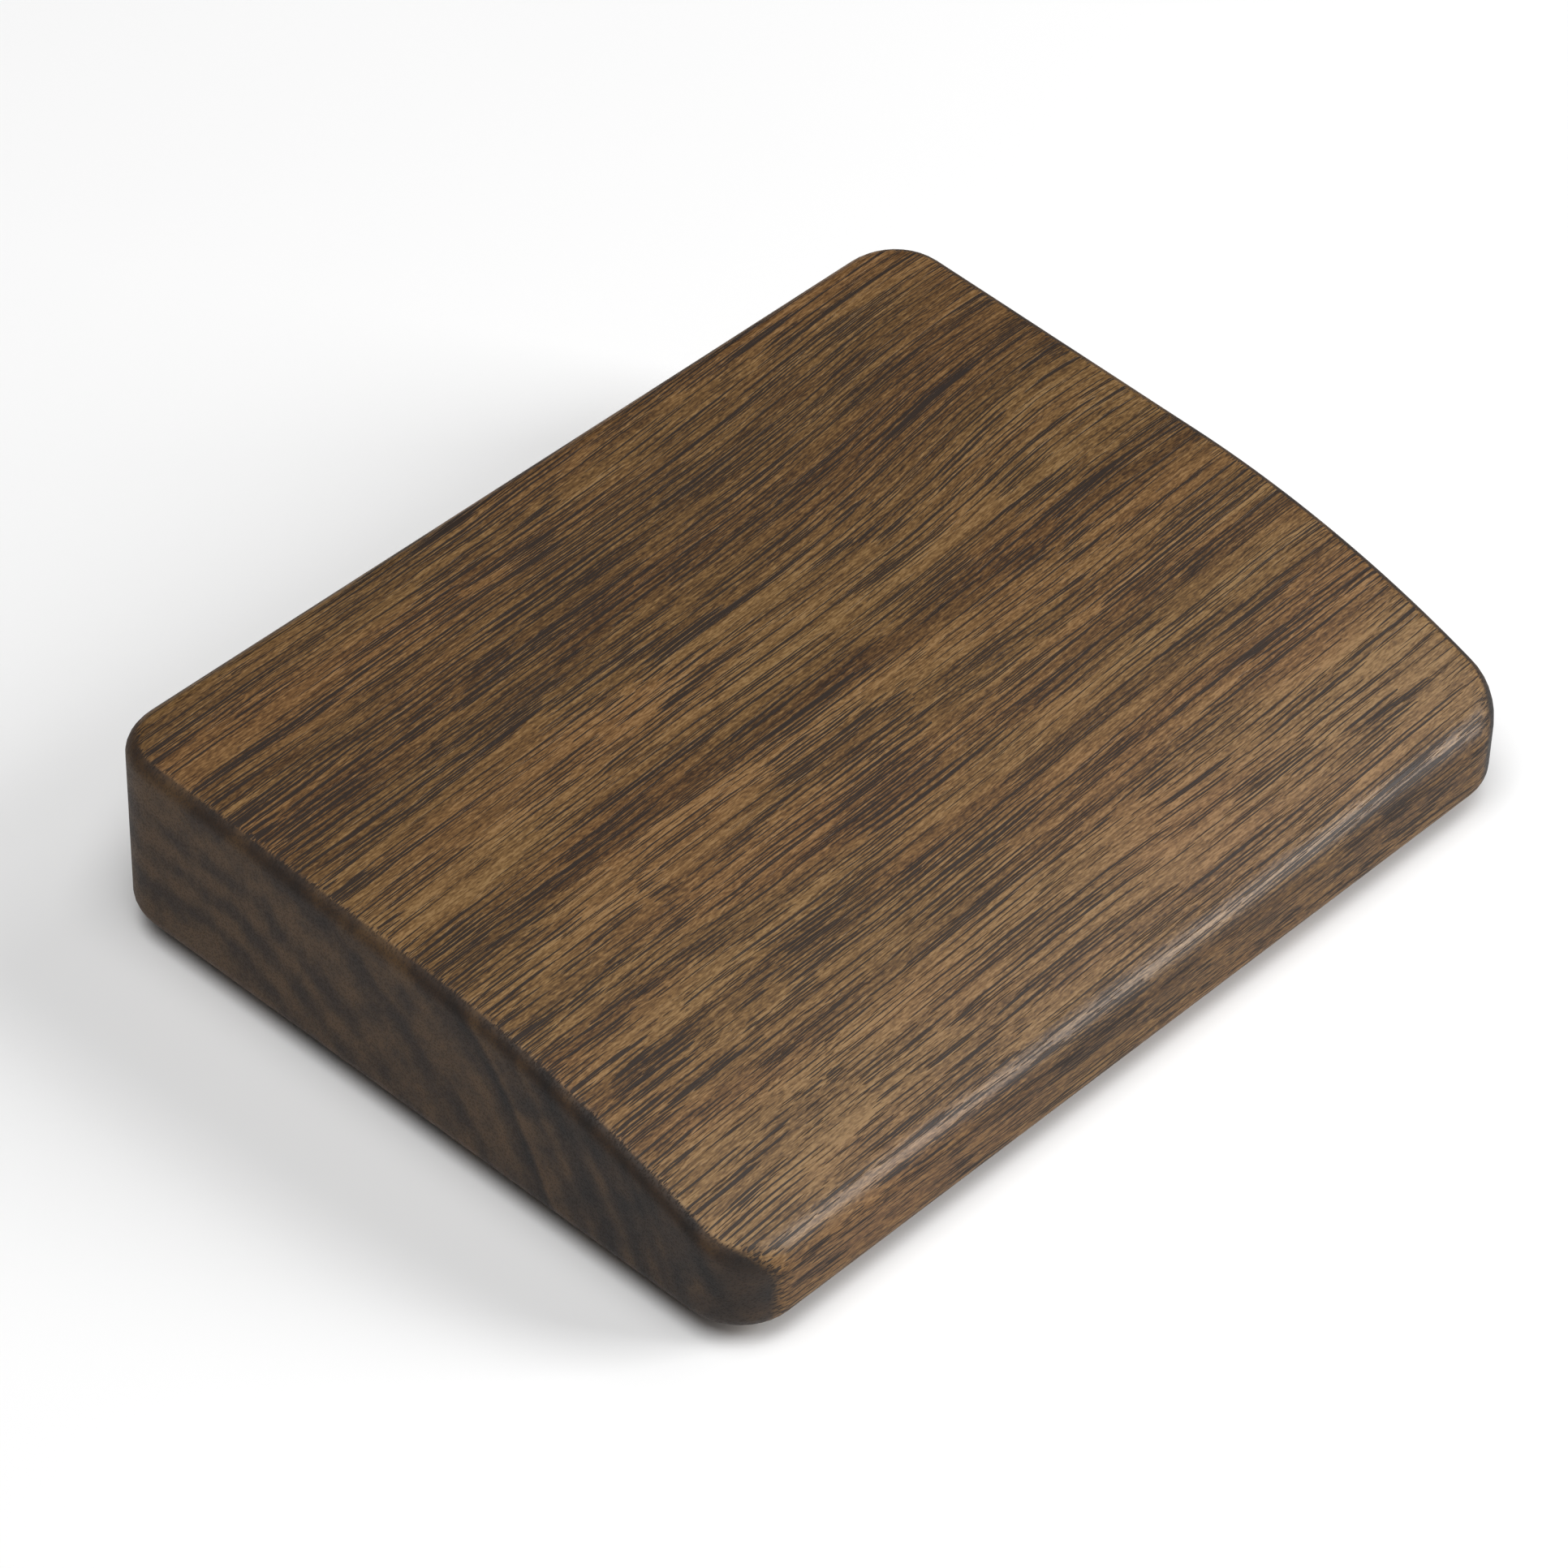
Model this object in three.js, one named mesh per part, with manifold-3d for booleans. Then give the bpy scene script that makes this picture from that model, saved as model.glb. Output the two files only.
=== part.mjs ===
// A solid walnut wrist rest on four stick-on silicone feet.
// Millimetres, +Z up. X runs along the grain, Y from the low nose at the user's side to the high
// back, and the origin is the centre of the footprint on the desk.
import * as THREE from 'three';
import { mergeVertices } from 'three/addons/utils/BufferGeometryUtils.js';
import Module from 'manifold-3d';

// Block
const WIDTH = 100;
const DEPTH = 77;
const BACK_HEIGHT = 19.5; // thickness of the wood at the back edge
const BACK_SLOPE = THREE.MathUtils.degToRad(2.65); // fall of the flat rear part of the top
const FLAT_START = 39; // distance from the front face at which the flat rear part begins
const CROWN_RADIUS = 103; // curve of the top from there down to the nose
const NOSE_RADIUS = 3.5;
const CORNER_RADIUS = 6; // corners of the footprint
const BACK_EDGE_RADIUS = 2;
const END_EDGE_RADIUS = 1.5;
const BOTTOM_EDGE_RADIUS = 2;

// Feet and the adhesive discs that hold them
const FOOT_DIAMETER = 10;
const FOOT_THICKNESS = 1.6;
const FOOT_RIM_RADIUS = 0.8;
const FOOT_INSET = 13; // centre of a foot from the two nearest sides of the block
const ADHESIVE_DIAMETER = 9.2;
const ADHESIVE_THICKNESS = 0.2;

// Fineness of the curved surfaces
const ARC_SEGMENTS = 24;
const EDGE_SEGMENTS = 4;
const ROUND_SEGMENTS = 40;

const UNDERSIDE = FOOT_THICKNESS + ADHESIVE_THICKNESS; // height of the wood above the desk
const CLEARANCE = 5; // how far a cutting solid runs past the block

const walnut = new THREE.MeshStandardMaterial({ color: 0x6b4a2c, roughness: 0.45, metalness: 0 });
const silicone = new THREE.MeshStandardMaterial({ color: 0x202020, roughness: 0.7, metalness: 0 });
const adhesive = new THREE.MeshStandardMaterial({ color: 0xd8d4c8, roughness: 0.6, metalness: 0 });

const wasm = await Module();
wasm.setup();

// A closed three.js geometry as a manifold solid.
function toSolid(geometry) {
  const bare = geometry.clone();
  bare.deleteAttribute('normal');
  bare.deleteAttribute('uv');
  const merged = mergeVertices(bare.index ? bare.toNonIndexed() : bare, 1e-4);
  return new wasm.Manifold(new wasm.Mesh({
    numProp: 3,
    vertProperties: new Float32Array(merged.attributes.position.array),
    triVerts: new Uint32Array(merged.index.array),
  }));
}

// A manifold solid as a three.js geometry.
function toGeometry(solid) {
  const { vertProperties, triVerts } = solid.getMesh();
  const geometry = new THREE.BufferGeometry();
  geometry.setAttribute('position', new THREE.BufferAttribute(vertProperties, 3));
  geometry.setIndex(new THREE.BufferAttribute(triVerts, 1));
  geometry.computeVertexNormals();
  return geometry;
}

// Side view of the block, with y across and z up, measured from the foot of its front face. It
// gives the true nose, top and back, and runs on below the block.
function sideOutline() {
  const flat = {
    y: FLAT_START,
    z: BACK_HEIGHT - Math.tan(BACK_SLOPE) * (DEPTH - FLAT_START),
  };
  const crown = {
    y: flat.y + CROWN_RADIUS * Math.sin(BACK_SLOPE),
    z: flat.z - CROWN_RADIUS * Math.cos(BACK_SLOPE),
  };
  // The nose is an arc that touches both the front face and the crown.
  const nose = { y: NOSE_RADIUS };
  nose.z = crown.z + Math.sqrt((CROWN_RADIUS - NOSE_RADIUS) ** 2 - (crown.y - nose.y) ** 2);
  const noseAngle = Math.atan2(nose.z - crown.z, nose.y - crown.y);
  // The back edge is an arc that touches both the back face and the flat part of the top.
  const back = { y: DEPTH - BACK_EDGE_RADIUS };
  back.z = BACK_HEIGHT - BACK_EDGE_RADIUS * (Math.tan(BACK_SLOPE) + 1 / Math.cos(BACK_SLOPE));
  const topAngle = Math.PI / 2 + BACK_SLOPE;

  const outline = new THREE.Shape();
  outline.moveTo(0, -CLEARANCE);
  outline.lineTo(DEPTH, -CLEARANCE);
  outline.absarc(back.y, back.z, BACK_EDGE_RADIUS, 0, topAngle, false);
  outline.absarc(crown.y, crown.z, CROWN_RADIUS, topAngle, noseAngle, false);
  outline.absarc(nose.y, nose.z, NOSE_RADIUS, noseAngle, Math.PI, false);
  return outline;
}

// Footprint of the block, centred on the origin.
function footprintOutline() {
  const x = WIDTH / 2 - CORNER_RADIUS;
  const y = DEPTH / 2 - CORNER_RADIUS;
  const turn = Math.PI / 2;
  const outline = new THREE.Shape();
  outline.absarc(x, y, CORNER_RADIUS, 0, turn, false);
  outline.absarc(-x, y, CORNER_RADIUS, turn, 2 * turn, false);
  outline.absarc(-x, -y, CORNER_RADIUS, 2 * turn, 3 * turn, false);
  outline.absarc(x, -y, CORNER_RADIUS, 3 * turn, 4 * turn, false);
  return outline;
}

// The side outline drawn out along the grain, with the edges of both ends rounded over. The
// negative offset keeps the full outline between the rounded ends.
function wedgeSolid() {
  const geometry = new THREE.ExtrudeGeometry(sideOutline(), {
    depth: WIDTH - 2 * END_EDGE_RADIUS,
    curveSegments: ARC_SEGMENTS,
    bevelThickness: END_EDGE_RADIUS,
    bevelSize: END_EDGE_RADIUS,
    bevelOffset: -END_EDGE_RADIUS,
    bevelSegments: EDGE_SEGMENTS,
  });
  // Outline x and y become Y and Z, and the drawn-out direction becomes X.
  const turn = new THREE.Matrix4().set(
    0, 0, 1, END_EDGE_RADIUS - WIDTH / 2,
    1, 0, 0, -DEPTH / 2,
    0, 1, 0, UNDERSIDE,
    0, 0, 0, 1,
  );
  return toSolid(geometry.applyMatrix4(turn));
}

// An upright column with the block's footprint and its rounded bottom edge.
function columnSolid() {
  const geometry = new THREE.ExtrudeGeometry(footprintOutline(), {
    depth: BACK_HEIGHT + CLEARANCE,
    curveSegments: ARC_SEGMENTS / 3,
    bevelThickness: BOTTOM_EDGE_RADIUS,
    bevelSize: BOTTOM_EDGE_RADIUS,
    bevelOffset: -BOTTOM_EDGE_RADIUS,
    bevelSegments: EDGE_SEGMENTS,
  });
  geometry.translate(0, 0, UNDERSIDE + BOTTOM_EDGE_RADIUS);
  return toSolid(geometry);
}

function woodBlock() {
  return toGeometry(wedgeSolid().intersect(columnSolid()));
}

// A moulded disc with a flat sole and a rounded lower rim.
function footGeometry() {
  const radius = FOOT_DIAMETER / 2;
  const sole = radius - FOOT_RIM_RADIUS;
  const profile = new THREE.Path();
  profile.moveTo(0, 0);
  profile.lineTo(sole, 0);
  profile.absarc(sole, FOOT_RIM_RADIUS, FOOT_RIM_RADIUS, -Math.PI / 2, 0, false);
  profile.lineTo(radius, FOOT_THICKNESS);
  profile.lineTo(0, FOOT_THICKNESS);
  const geometry = new THREE.LatheGeometry(profile.getPoints(EDGE_SEGMENTS), ROUND_SEGMENTS);
  return geometry.rotateX(Math.PI / 2);
}

function adhesiveGeometry() {
  const radius = ADHESIVE_DIAMETER / 2;
  const geometry = new THREE.CylinderGeometry(radius, radius, ADHESIVE_THICKNESS, ROUND_SEGMENTS);
  return geometry.rotateX(Math.PI / 2);
}

function named(name, geometry, material) {
  const mesh = new THREE.Mesh(geometry, material);
  mesh.name = name;
  return mesh;
}

const wristRest = new THREE.Group();
wristRest.add(named('wood_block', woodBlock(), walnut));

for (const [side, xSign] of [['left', -1], ['right', 1]]) {
  for (const [end, ySign] of [['front', -1], ['back', 1]]) {
    const station = new THREE.Group();
    station.position.set(xSign * (WIDTH / 2 - FOOT_INSET), ySign * (DEPTH / 2 - FOOT_INSET), 0);
    const foot = named(`anti_slip_foot_${end}_${side}`, footGeometry(), silicone);
    const disc = named(`foot_adhesive_${end}_${side}`, adhesiveGeometry(), adhesive);
    disc.position.z = FOOT_THICKNESS + ADHESIVE_THICKNESS / 2;
    station.add(foot, disc);
    wristRest.add(station);
  }
}

export default wristRest;
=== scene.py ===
"""A solid walnut wrist rest on four stick-on silicone feet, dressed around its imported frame."""
from math import atan, cos, pi, radians, sin, sqrt, tan

import bmesh
import bpy
from mathutils import Matrix, Vector, noise


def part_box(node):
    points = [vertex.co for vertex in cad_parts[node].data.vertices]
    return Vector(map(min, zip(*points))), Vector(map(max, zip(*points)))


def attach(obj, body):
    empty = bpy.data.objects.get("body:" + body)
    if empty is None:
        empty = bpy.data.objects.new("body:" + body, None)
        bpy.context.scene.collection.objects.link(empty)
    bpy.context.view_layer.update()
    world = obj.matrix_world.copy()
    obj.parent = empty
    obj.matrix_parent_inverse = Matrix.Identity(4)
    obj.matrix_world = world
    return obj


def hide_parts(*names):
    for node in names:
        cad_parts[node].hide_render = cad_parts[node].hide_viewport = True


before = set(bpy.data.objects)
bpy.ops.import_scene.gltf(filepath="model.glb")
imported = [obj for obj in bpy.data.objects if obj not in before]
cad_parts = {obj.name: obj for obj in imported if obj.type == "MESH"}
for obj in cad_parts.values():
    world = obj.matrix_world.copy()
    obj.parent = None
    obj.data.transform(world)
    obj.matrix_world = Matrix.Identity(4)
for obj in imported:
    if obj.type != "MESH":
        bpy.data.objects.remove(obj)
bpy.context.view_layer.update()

MM = 0.001

# The block's shape, in millimetres, as in the frame
BACK_HEIGHT = 19.5
BACK_SLOPE = radians(2.65)
FLAT_START = 39.0
CROWN_RADIUS = 103.0
CORNER_RADIUS = 6.0
NOSE_RADIUS = 3.5
BACK_EDGE_RADIUS = 2.0
END_EDGE_RADIUS = 1.5
BOTTOM_EDGE_RADIUS = 2.0
SANDING_WAVE = 0.03
SANDING_REACH = (22.0, 9.0, 9.0)  # length of a wave along the grain and across it

# The feet
FOOT_RIM_RADIUS = 0.8
FOOT_LIP = 0.1  # the small bevel round the upper edge
FOOT_DISH = 0.06  # how far the middle of the sole is hollowed
ROUND_STEPS = 96


# ---------------------------------------------------------------- frame

def box_mm(node):
    """The low and high corners of a frame node's box, in millimetres."""
    low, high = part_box(node)
    return Vector(low) / MM, Vector(high) / MM


BLOCK_LOW, BLOCK_HIGH = box_mm("wood_block")
UNDERSIDE = BLOCK_LOW.z
FRONT = BLOCK_LOW.y
BACK = BLOCK_HIGH.y
HALF_WIDTH = BLOCK_HIGH.x


# ---------------------------------------------------------------- meshes

def finish_mesh(name, points, faces, material, node):
    """A smooth-shaded piece, from points in millimetres, that stands for one frame node."""
    mesh = bpy.data.meshes.new(name)
    mesh.from_pydata([Vector(p) * MM for p in points], [], faces)
    shaped = bmesh.new()
    shaped.from_mesh(mesh)
    bmesh.ops.recalc_face_normals(shaped, faces=shaped.faces)
    for face in shaped.faces:
        face.smooth = True
    shaped.to_mesh(mesh)
    shaped.free()
    mesh.materials.append(material)
    piece = bpy.data.objects.new(name, mesh)
    bpy.context.scene.collection.objects.link(piece)
    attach(piece, "root")
    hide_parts(node)
    return piece


def top_height(y):
    """Height of the wood's top over the desk at a depth y."""
    flat_y = FRONT + FLAT_START
    if y > flat_y:
        return UNDERSIDE + BACK_HEIGHT - tan(BACK_SLOPE) * (BACK - y)
    flat_z = UNDERSIDE + BACK_HEIGHT - tan(BACK_SLOPE) * (BACK - flat_y)
    lean = sin(BACK_SLOPE) + (flat_y - y) / CROWN_RADIUS
    return flat_z - CROWN_RADIUS * (cos(BACK_SLOPE) - sqrt(1 - lean * lean))


def top_slope(y):
    """Steepness of the wood's top at a depth y."""
    lean = sin(BACK_SLOPE) + max(0.0, FRONT + FLAT_START - y) / CROWN_RADIUS
    return lean / sqrt(1 - lean * lean)


def edge_radius(direction):
    """Radius of the top edge where the side faces a direction: nose, end or back."""
    forward = max(0.0, -direction.y) ** 2
    backward = max(0.0, direction.y) ** 2
    return (END_EDGE_RADIUS + (NOSE_RADIUS - END_EDGE_RADIUS) * forward
            + (BACK_EDGE_RADIUS - END_EDGE_RADIUS) * backward)


def wall(centre, direction, arc_steps, rise_steps):
    """Points up the side of the block at one place on its outline, underside to top."""

    def at(inset, z):
        reach = CORNER_RADIUS - inset
        return Vector((centre.x + direction.x * reach, centre.y + direction.y * reach, z))

    points = []
    for step in range(arc_steps + 1):
        turn = pi / 2 * step / arc_steps
        inset = BOTTOM_EDGE_RADIUS * (1 - sin(turn))
        points.append(at(inset, UNDERSIDE + BOTTOM_EDGE_RADIUS * (1 - cos(turn))))
    radius = edge_radius(direction)
    inset = radius
    for _ in range(4):  # settles where the edge's arc runs into the top
        depth = centre.y + direction.y * (CORNER_RADIUS - inset)
        lean = atan(-direction.y * top_slope(depth))
        inset = radius * (1 - sin(lean))
    middle_z = top_height(depth) - radius * cos(lean)
    start_z = points[-1].z
    for step in range(1, rise_steps + 1):
        points.append(at(0, start_z + (middle_z - start_z) * step / rise_steps))
    for step in range(1, arc_steps + 1):
        turn = (pi / 2 - lean) * step / arc_steps
        points.append(at(radius * (1 - cos(turn)), middle_z + radius * sin(turn)))
    return points


def sanded(point):
    """The point moved inwards by a hair, as hand sanding leaves a surface."""
    along, deep, high = SANDING_REACH
    wave = noise.noise(Vector((point.x / along, point.y / deep, point.z / high)))
    middle = Vector((0, 0, (UNDERSIDE + BLOCK_HIGH.z) / 2))
    return point + (middle - point).normalized() * SANDING_WAVE * (0.5 + 0.5 * wave)


def block_mesh(material):
    """The wedge: a column of points at each place on its outline, with rows of faces across."""
    across, arc, along = 122, 10, 90  # points along the front, steps round a corner and a side
    arc_steps, rise_steps = 7, 7  # steps up a rounded edge and up the plain wall
    x_edge = HALF_WIDTH - CORNER_RADIUS
    y_front = FRONT + CORNER_RADIUS
    y_back = BACK - CORNER_RADIUS

    # One side's outline, front corner to back corner, as arc centres and outward directions
    side = []
    for step in range(1, arc + 1):
        turn = pi / 2 * step / arc
        side.append((Vector((x_edge, y_front)), Vector((sin(turn), -cos(turn)))))
    for step in range(1, along + 1):
        y = y_front + (y_back - y_front) * step / along
        side.append((Vector((x_edge, y)), Vector((1, 0))))
    for step in range(1, arc):
        turn = pi / 2 * step / arc
        side.append((Vector((x_edge, y_back)), Vector((cos(turn), sin(turn)))))
    spread = [x_edge * (2 * i / (across - 1) - 1) for i in range(across)]
    flip = Vector((-1, 1))
    outline = [(Vector((x, y_front)), Vector((0, -1))) for x in spread]
    outline += side
    outline += [(Vector((x, y_back)), Vector((0, 1))) for x in reversed(spread)]
    outline += [(centre * flip, direction * flip) for centre, direction in reversed(side)]

    walls = [wall(centre, direction, arc_steps, rise_steps) for centre, direction in outline]
    levels = len(walls[0])
    points = [point for column in walls for point in column]
    faces = []
    count = len(outline)
    for i in range(count):
        j = (i + 1) % count
        for level in range(levels - 1):
            faces.append((i * levels + level, j * levels + level,
                          j * levels + level + 1, i * levels + level + 1))

    def cap(level, height):
        """Fills the outline at one level with rows that run along the grain."""
        rows = [[i * levels + level for i in range(across)]]
        for step in range(len(side)):
            right = (across + step) * levels + level
            left = (count - 1 - step) * levels + level
            row = [left]
            for i in range(1, across - 1):
                share = i / (across - 1)
                x = points[left].x * (1 - share) + points[right].x * share
                y = points[left].y
                row.append(len(points))
                points.append(Vector((x, y, height(y))))
            rows.append(row + [right])
        back_end = across + len(side) + across - 1
        rows.append([(back_end - i) * levels + level for i in range(across)])
        for low, high in zip(rows, rows[1:]):
            for i in range(across - 1):
                faces.append((low[i], low[i + 1], high[i + 1], high[i]))

    cap(levels - 1, top_height)
    cap(0, lambda y: UNDERSIDE)
    points = [sanded(p) if p.z > UNDERSIDE + BOTTOM_EDGE_RADIUS / 2 else p for p in points]
    return finish_mesh("walnut_block", points, faces, material, "wood_block")


def turned(profile, centre, steps):
    """Points and faces of a round piece from its (radius, height) profile, axis to axis."""
    points = [(centre.x, centre.y, profile[0][1])]
    for radius, z in profile[1:-1]:
        for step in range(steps):
            turn = 2 * pi * step / steps
            points.append((centre.x + radius * cos(turn), centre.y + radius * sin(turn), z))
    points.append((centre.x, centre.y, profile[-1][1]))
    last = len(points) - 1
    rings = len(profile) - 2
    faces = []
    for step in range(steps):
        after = (step + 1) % steps
        faces.append((0, 1 + after, 1 + step))
        faces.append((last, 1 + (rings - 1) * steps + step, 1 + (rings - 1) * steps + after))
        for ring in range(rings - 1):
            base = 1 + ring * steps
            faces.append((base + step, base + after, base + steps + after, base + steps + step))
    return points, faces


def foot_mesh(place, material):
    """A moulded silicone foot: a faintly dished sole, a rounded rim and a flat top."""
    node = "anti_slip_foot_" + place
    low, high = box_mm(node)
    centre = (low + high) / 2
    radius = (high.x - low.x) / 2
    sole = radius - FOOT_RIM_RADIUS
    dish = sole * 0.6
    profile = [(0, low.z + FOOT_DISH)]
    profile += [(dish * share, low.z + FOOT_DISH * (1 - share ** 4)) for share in (0.5, 0.8, 1)]
    profile += [(sole * 0.85, low.z)]
    for step in range(9):
        turn = pi / 2 * step / 8
        profile.append((sole + FOOT_RIM_RADIUS * sin(turn),
                        low.z + FOOT_RIM_RADIUS * (1 - cos(turn))))
    profile += [(radius, high.z - FOOT_LIP), (radius - FOOT_LIP * 0.3, high.z - FOOT_LIP * 0.3),
                (radius - FOOT_LIP, high.z), (sole, high.z), (0, high.z)]
    points, faces = turned(profile, centre, ROUND_STEPS)
    return finish_mesh("silicone_foot_" + place, points, faces, material, node)


def adhesive_mesh(place, material):
    """A die-cut adhesive disc, whose edge bulges a little at half its thickness."""
    node = "foot_adhesive_" + place
    low, high = box_mm(node)
    centre = (low + high) / 2
    radius = (high.x - low.x) / 2
    thick = high.z - low.z
    profile = [(0, low.z), (radius * 0.5, low.z), (radius * 0.98, low.z),
               (radius * 0.995, low.z + thick * 0.25), (radius, low.z + thick * 0.5),
               (radius * 0.995, low.z + thick * 0.75), (radius * 0.98, high.z),
               (radius * 0.5, high.z), (0, high.z)]
    points, faces = turned(profile, centre, ROUND_STEPS)
    return finish_mesh("adhesive_disc_" + place, points, faces, material, node)


# ---------------------------------------------------------------- materials

class Graph:
    """A material's node tree, with a short call for each kind of node used here."""

    def __init__(self, name):
        self.material = bpy.data.materials.new(name)
        self.material.use_nodes = True
        self.tree = self.material.node_tree
        self.shader = self.tree.nodes["Principled BSDF"]

    def add(self, kind, inputs=None, **settings):
        node = self.tree.nodes.new("ShaderNode" + kind)
        for key, value in settings.items():
            setattr(node, key, value)
        for key, value in (inputs or {}).items():
            self.feed(node.inputs[key], value)
        return node

    def feed(self, socket, value):
        if isinstance(value, bpy.types.NodeSocket):
            self.tree.links.new(value, socket)
        else:
            socket.default_value = value

    def set(self, **values):
        for key, value in values.items():
            self.feed(self.shader.inputs[key.replace("_", " ")], value)

    def math(self, operation, *values):
        return self.add("Math", dict(enumerate(values)), operation=operation).outputs[0]

    def vector(self, operation, first, second):
        inputs = {0: first, 1: second}
        return self.add("VectorMath", inputs, operation=operation).outputs["Vector"]

    def noise(self, vector, detail=2.0, roughness=0.5, output="Fac"):
        inputs = {"Vector": vector, "Scale": 1.0, "Detail": detail, "Roughness": roughness}
        return self.add("TexNoise", inputs).outputs[output]

    def step(self, value, low, high, out_low=0.0, out_high=1.0):
        """A smooth step from out_low to out_high as value goes from low to high."""
        inputs = {"Value": value, "From Min": low, "From Max": high,
                  "To Min": out_low, "To Max": out_high}
        return self.add("MapRange", inputs, interpolation_type="SMOOTHSTEP").outputs["Result"]

    def ramp(self, value, stops, interpolation="EASE"):
        node = self.add("ValToRGB", {"Fac": value})
        node.color_ramp.interpolation = interpolation
        elements = node.color_ramp.elements
        while len(elements) < len(stops):
            elements.new(0.5)
        for element, (place, colour) in zip(elements, stops):
            element.position = place
            element.color = (*colour, 1) if isinstance(colour, tuple) else (colour,) * 3 + (1,)
        return node.outputs["Color"]

    def mix(self, share, first, second, blend="MIX"):
        node = self.add("Mix", data_type="RGBA", blend_type=blend)
        for socket, value in ((0, share), (6, first), (7, second)):
            if isinstance(value, tuple):
                value = (*value, 1)
            self.feed(node.inputs[socket], value)
        return node.outputs[2]

    def millimetres(self):
        place = self.add("TexCoord").outputs["Object"]
        return self.vector("MULTIPLY", place, (1 / MM,) * 3)


# The wood. Lengths are in millimetres, and places are measured from the middle of the footprint.
PITH = (0, 30.5, -21.2)  # a point on the line along which the tree's centre ran

# Tone of the growth layers by distance from the pith, 0 darkest and 1 lightest
LAYER_START = 25.0
LAYER_END = 76.0
LAYERS = [
    (25.0, 0.50), (29.3, 0.32), (31.3, 0.55), (33.1, 0.34), (35.2, 0.56), (37.0, 0.38),
    (39.3, 0.60), (41.2, 0.57), (43.7, 0.36), (44.9, 0.57), (46.8, 0.58), (48.3, 0.72),
    (49.8, 0.50), (51.3, 0.26), (52.4, 0.74), (53.5, 0.64), (55.2, 0.47), (56.2, 0.66),
    (57.6, 0.48), (58.4, 0.40), (60.3, 0.72), (61.6, 0.42), (63.4, 0.58), (64.5, 0.50),
    (65.4, 0.62), (66.3, 0.50), (67.4, 0.64), (68.7, 0.72), (70.1, 0.54), (71.0, 0.68),
    (73.6, 0.54), (76.0, 0.36),
]

# Curls in the grain: centre, reach in each direction, and how far they carry it backwards. The
# grain also climbs and bows as it runs to the right.
FIBRE_CURL = ((44, 18, 8), (22, 16, 30), 3.6)
LAYER_CURL = ((30, 34.5, 15), (50, 11.5, 60), 6.9)
LAYER_DIP = ((-48, -7.5, 12), (21, 5.8, 30), 2.7)
FIBRE_CLIMB = 0.036
LAYER_CLIMB = 0.016
LAYER_BOW = -0.0001

# Sets of open pores: length, spacing, and what is added to their width
PORES = ((60, 0.46, 0.00), (38, 0.29, 0.13), (20, 0.19, 0.17))

# Colours by tone, dark to light
HEARTWOOD = [
    (0.0, (0.023, 0.010, 0.003)), (0.22, (0.046, 0.021, 0.006)),
    (0.50, (0.104, 0.053, 0.016)), (0.75, (0.169, 0.092, 0.031)),
    (1.0, (0.245, 0.145, 0.058)),
]
END_GRAIN = [(0.2, (0.008, 0.004, 0.002)), (0.5, (0.033, 0.016, 0.006)),
             (0.8, (0.090, 0.047, 0.016))]
PORE_COLOUR = (0.015, 0.008, 0.005)


def hill(g, place, centre, reach, rise):
    """How far a curl in the grain carries it, in millimetres: a smooth rise round a place."""
    away = g.vector("MULTIPLY", g.vector("SUBTRACT", place, centre), tuple(1 / r for r in reach))
    square = g.add("VectorMath", {0: away, 1: away}, operation="DOT_PRODUCT").outputs["Value"]
    return g.math("MULTIPLY", g.math("EXPONENT", g.math("MULTIPLY", square, -1.0)), rise)


def sway(g, place, length, thickness, detail, reach):
    """An offset across the grain, up to half the reach each way, in waves of a given size."""
    waves = (1 / length, 1 / thickness, 1 / thickness)
    offset = g.noise(g.vector("MULTIPLY", place, waves), detail, output="Color")
    return g.vector("MULTIPLY", g.vector("SUBTRACT", offset, (0.5, 0.5, 0.5)), (0, reach, reach))


def carried(g, place, backwards):
    """The place, once the grain has been carried backwards over it."""
    return g.vector("SUBTRACT", place, g.add("CombineXYZ", {"Y": backwards}).outputs["Vector"])


def threads(g, fibre, length, thickness, detail=2.0, roughness=0.5):
    """Noise drawn out along the fibres, to threads of a length and thickness."""
    spread = (1 / length, 1 / thickness, 1 / thickness)
    return g.noise(g.vector("MULTIPLY", fibre, spread), detail, roughness)


def growth_layers(g, ring):
    """How far a place is from the pith, 0 to 1, and the tone of the growth layer there."""
    from_pith = g.vector("MULTIPLY", g.vector("SUBTRACT", ring, PITH), (0, 1, 1))
    radius = g.add("VectorMath", {0: from_pith}, operation="LENGTH").outputs["Value"]
    span = LAYER_END - LAYER_START
    share = g.math("DIVIDE", g.math("SUBTRACT", radius, LAYER_START), span)
    return share, g.ramp(share, [((r - LAYER_START) / span, tone) for r, tone in LAYERS])


def open_pores(g, fibre, crowd):
    """Thin lines along the fibres, 1 in a pore and 0 beside it, wider where crowd is higher."""
    pores = None
    for length, spacing, thin in PORES:
        cell = g.vector("MULTIPLY", fibre, (1 / length, 1 / spacing, 1 / spacing))
        voronoi = g.add("TexVoronoi", {"Vector": cell, "Scale": 1.0, "Randomness": 1.0})
        chance = g.add("SeparateColor", {"Color": voronoi.outputs["Color"]}).outputs["Red"]
        size = g.math("ADD", g.math("MULTIPLY_ADD", chance, 0.30, thin), crowd)
        needle = g.step(g.math("SUBTRACT", size, voronoi.outputs["Distance"]), -0.01, 0.04)
        pores = needle if pores is None else g.math("MAXIMUM", pores, needle)
    return pores


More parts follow.
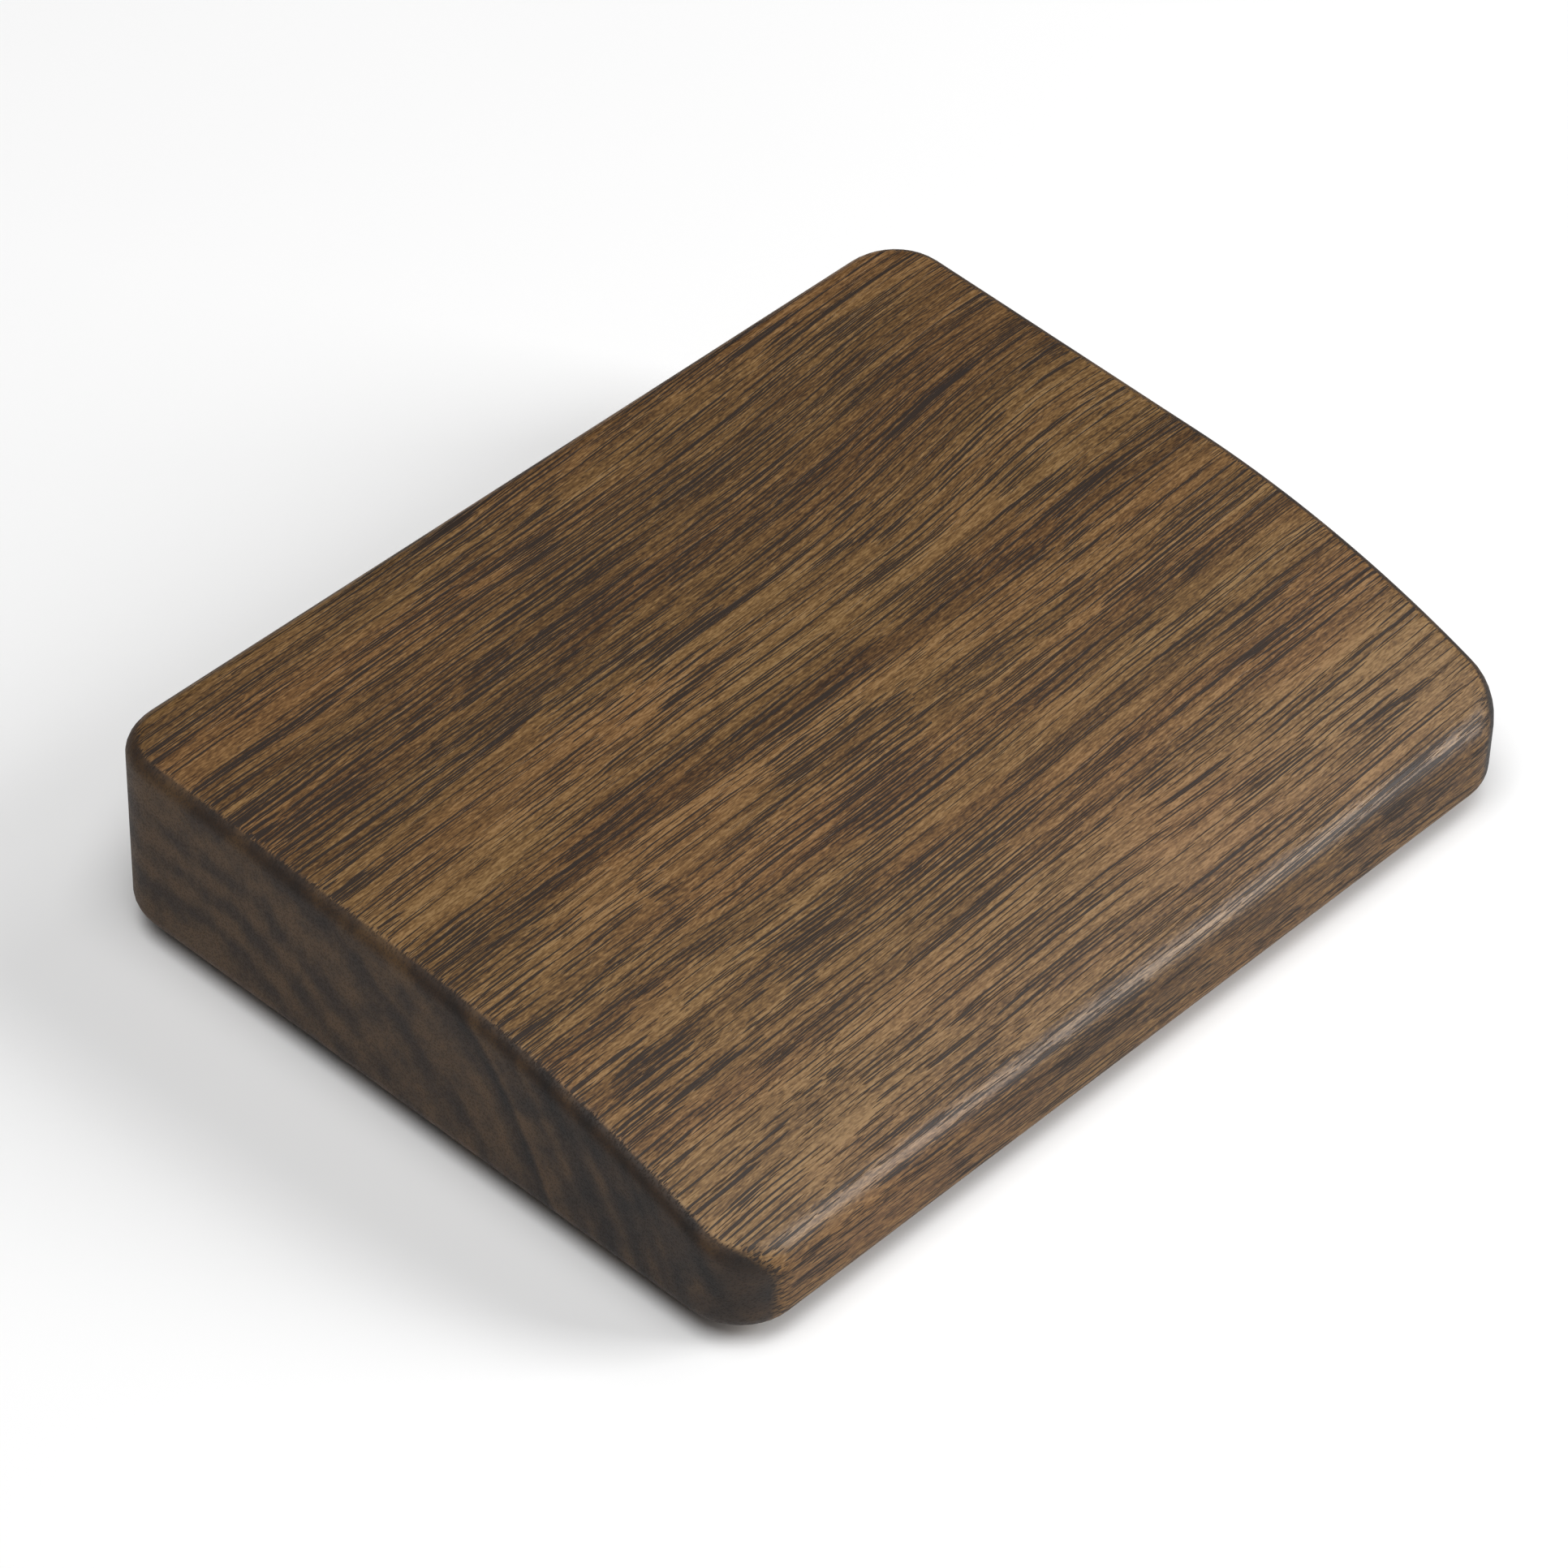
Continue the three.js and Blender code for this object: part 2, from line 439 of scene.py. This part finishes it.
def walnut():
    """Oiled walnut: growth layers, streaks and pores along X, and dark end grain."""
    g = Graph("walnut")
    place = g.millimetres()
    along = g.add("SeparateXYZ", {0: place}).outputs["X"]
    wander = sway(g, place, 60, 14, 1.5, 2.2)
    tremor = sway(g, place, 9, 2.2, 2, 0.35)
    wavy = g.vector("ADD", g.vector("ADD", place, wander), tremor)

    # The fibres climb a little to the right and swing round a curl at the back
    climb = g.math("MULTIPLY_ADD", along, FIBRE_CLIMB, hill(g, place, *FIBRE_CURL))
    fibre = carried(g, wavy, climb)

    # Growth layers round the pith, which rise over the curl and dip at the left
    lift = g.math("SUBTRACT", hill(g, place, *LAYER_CURL), hill(g, place, *LAYER_DIP))
    lift = g.math("MULTIPLY_ADD", g.math("MULTIPLY", along, along), LAYER_BOW, lift)
    lift = g.math("MULTIPLY_ADD", along, LAYER_CLIMB, lift)
    share, layers = growth_layers(g, carried(g, wavy, lift))

    # Streaks that fade in and out along the fibres, from broad to very fine
    broad = threads(g, fibre, 40, 3.2, 1.5)
    streaks = threads(g, fibre, 26, 0.9, 2, 0.6)
    fine = threads(g, fibre, 7, 0.26, 2, 0.7)
    fleck = threads(g, fibre, 0.7, 0.13, 1, 0.6)
    tone = g.math("MULTIPLY_ADD", layers, 0.85, 0.15)
    for streak, strength in ((broad, 0.4), (streaks, 0.65), (fine, 1.25), (fleck, 1.3)):
        tone = g.math("MULTIPLY_ADD", g.math("SUBTRACT", streak, 0.5), strength, tone)

    # The pores are wider, and so seem closer together, where the wood is dark
    crowd = g.step(g.math("MULTIPLY_ADD", layers, 3.0, streaks), 1.4, 2.8, 0.05, -0.03)
    pores = open_pores(g, fibre, crowd)

    side = g.ramp(tone, HEARTWOOD, "LINEAR")
    hue = threads(g, place, 40, 9)
    redder = g.mix(1.0, side, (1.06, 0.98, 0.98), "MULTIPLY")
    side = g.mix(g.step(hue, 0.4, 0.7), side, redder)
    side = g.mix(g.math("MULTIPLY", pores, 0.95), side, PORE_COLOUR)

    # End grain drinks more oil: dark and grey-brown, its growth layers soft bands of warmer brown
    bands = g.math("MULTIPLY_ADD", g.math("SUBTRACT", streaks, 0.5), 0.3, layers)
    bands = g.math("MULTIPLY_ADD", g.math("SUBTRACT", broad, 0.5), 0.8, bands)
    bands = g.math("MULTIPLY_ADD", share, -0.6, g.math("ADD", bands, 0.3))
    end = g.ramp(bands, END_GRAIN, "LINEAR")
    end = g.mix(g.math("MULTIPLY", pores, 0.32), end, (0.014, 0.010, 0.008))
    end = g.mix(g.step(fleck, 0.35, 0.65, 0.0, 0.25), end, (0.020, 0.015, 0.012))

    # Which way the surface faces: to an end, upright, or level as the flat rear of the top
    facing = g.add("SeparateXYZ", {0: g.add("TexCoord").outputs["Normal"]})
    endward = g.math("ABSOLUTE", facing.outputs["X"])
    upright = g.step(facing.outputs["Z"], 0.1, 0.6, 1.0, 0.0)
    level = g.step(facing.outputs["Y"], -0.40, -0.10)
    # Painted shade: upright faces, the front face most of all, get a darker, browner colour that
    # stands in for less light and offsets the pale floor they reflect
    upright_painted_shade = g.mix(1.0, side, (0.90, 0.83, 0.60), "MULTIPLY")
    side = g.mix(upright, side, upright_painted_shade)
    g.set(Base_Color=g.mix(g.step(endward, 0.16, 0.40), side, end))

    # Hands rub the nose to a satin sheen, and the pores, sides, ends and rear stay more matt
    rough = g.step(tone, 0.1, 0.9, 0.43, 0.37)
    rough = g.math("MULTIPLY_ADD", pores, 0.12, rough)
    matt = g.math("MAXIMUM", upright, g.step(endward, 0.05, 0.3))
    matt = g.math("MAXIMUM", matt, g.math("MULTIPLY", level, 0.5))
    rough = g.math("MULTIPLY_ADD", matt, 0.25, rough)
    g.set(Roughness=rough, IOR=1.48, Specular_IOR_Level=0.45)

    height = g.math("MULTIPLY_ADD", fine, 0.25, g.math("MULTIPLY", fleck, 0.3))
    height = g.math("SUBTRACT", height, pores)
    bump = g.add("Bump", {"Strength": 0.7, "Distance": 0.06 * MM, "Height": height})
    g.set(Normal=bump.outputs["Normal"])
    return g.material


def silicone():
    """Matt black silicone with a little dust on it."""
    g = Graph("silicone")
    place = g.millimetres()
    mould = g.noise(g.vector("MULTIPLY", place, (7.0,) * 3), 3)  # grain of the mould
    dust = g.noise(g.vector("MULTIPLY", place, (1.1,) * 3), 4, 0.7)
    dust = g.step(dust, 0.52, 0.72)
    dusty = g.math("MULTIPLY", dust, 0.5)
    g.set(Base_Color=g.mix(dusty, (0.014, 0.014, 0.015), (0.050, 0.048, 0.045)))
    g.set(Roughness=g.math("MULTIPLY_ADD", mould, 0.2, 0.52), IOR=1.41)
    bump = g.add("Bump", {"Strength": 0.6, "Distance": 0.04 * MM, "Height": mould})
    g.set(Normal=bump.outputs["Normal"])
    return g.material


def adhesive():
    """Off-white fibrous film."""
    g = Graph("adhesive")
    place = g.millimetres()
    fibre = g.noise(g.vector("MULTIPLY", place, (3.0, 0.8, 3.0)), 4, 0.65)
    g.set(Base_Color=g.mix(fibre, (0.50, 0.46, 0.38), (0.70, 0.67, 0.60)))
    g.set(Roughness=g.math("MULTIPLY_ADD", fibre, 0.2, 0.5))
    bump = g.add("Bump", {"Strength": 0.4, "Distance": 0.03 * MM, "Height": fibre})
    g.set(Normal=bump.outputs["Normal"])
    return g.material


# ---------------------------------------------------------------- studio

# The camera: distance, lens and aim in millimetres
CAMERA_AZIMUTH = radians(-47.54)
CAMERA_ELEVATION = radians(42.62)
CAMERA_DISTANCE = 599.5
CAMERA_ROLL = radians(1.69)
CAMERA_LENS = 158.24
AIM = Vector((-5.4, -0.56, 11.8))
FLOOR_REACH = 3.0  # metres from the middle to each edge


def towards(azimuth, elevation):
    """Unit vector from the object to a viewer or light at an azimuth and elevation."""
    return Vector((sin(azimuth) * cos(elevation), -cos(azimuth) * cos(elevation), sin(elevation)))


def add_camera():
    data = bpy.data.cameras.new("camera")
    data.lens = CAMERA_LENS
    data.clip_start = 0.05
    camera = bpy.data.objects.new("camera", data)
    bpy.context.scene.collection.objects.link(camera)
    back = towards(CAMERA_AZIMUTH, CAMERA_ELEVATION)
    turn = back.to_track_quat("Z", "Y").to_matrix() @ Matrix.Rotation(CAMERA_ROLL, 3, "Z")
    camera.matrix_world = Matrix.Translation((AIM + back * CAMERA_DISTANCE) * MM) @ turn.to_4x4()
    bpy.context.scene.camera = camera


def add_softbox(name, azimuth, elevation, distance, size, power):
    """A white panel that faces the object: angles in degrees, lengths in metres, power in watts."""
    data = bpy.data.lights.new(name, "AREA")
    data.shape = "RECTANGLE"
    data.size, data.size_y = size
    data.energy = power
    light = bpy.data.objects.new(name, data)
    bpy.context.scene.collection.objects.link(light)
    back = towards(radians(azimuth), radians(elevation))
    light.matrix_world = (Matrix.Translation(back * distance)
                          @ back.to_track_quat("Z", "Y").to_matrix().to_4x4())


def add_floor():
    """A sheet of pale paper, far larger than the object."""
    g = Graph("floor")
    place = g.millimetres()
    paper = g.noise(g.vector("MULTIPLY", place, (1 / 60,) * 3), 2)
    g.set(Base_Color=g.mix(paper, (0.90, 0.90, 0.90), (0.92, 0.92, 0.92)), Roughness=0.9)
    mesh = bpy.data.meshes.new("floor")
    signs = ((-1, -1), (1, -1), (1, 1), (-1, 1))
    corners = [(x * FLOOR_REACH, y * FLOOR_REACH, 0) for x, y in signs]
    mesh.from_pydata(corners, [], [(0, 1, 2, 3)])
    mesh.materials.append(g.material)
    floor = bpy.data.objects.new("floor", mesh)
    bpy.context.scene.collection.objects.link(floor)


def add_lights():
    """A dim room, a broad light overhead, a low window that draws the sheen, and a weak fill."""
    world = bpy.data.worlds.new("studio")
    world.use_nodes = True
    sky = world.node_tree.nodes["Background"]
    sky.inputs["Color"].default_value = (1.0, 1.0, 1.0, 1)
    sky.inputs["Strength"].default_value = 0.05
    bpy.context.scene.world = world
    add_softbox("overhead", -65, 75, 1.4, (1.0, 1.0), 15.8)
    add_softbox("window", 42, 27, 1.2, (0.5, 0.75), 11.0)
    add_softbox("fill", 70, 53, 1.2, (0.55, 0.4), 1.6)
    bpy.context.scene.view_settings.view_transform = "Standard"


# ---------------------------------------------------------------- assembly

PLACES = ("front_left", "front_right", "back_left", "back_right")

add_camera()
block_mesh(walnut())
foot_material = silicone()
disc_material = adhesive()
for foot_place in PLACES:
    foot_mesh(foot_place, foot_material)
    adhesive_mesh(foot_place, disc_material)
add_floor()
add_lights()
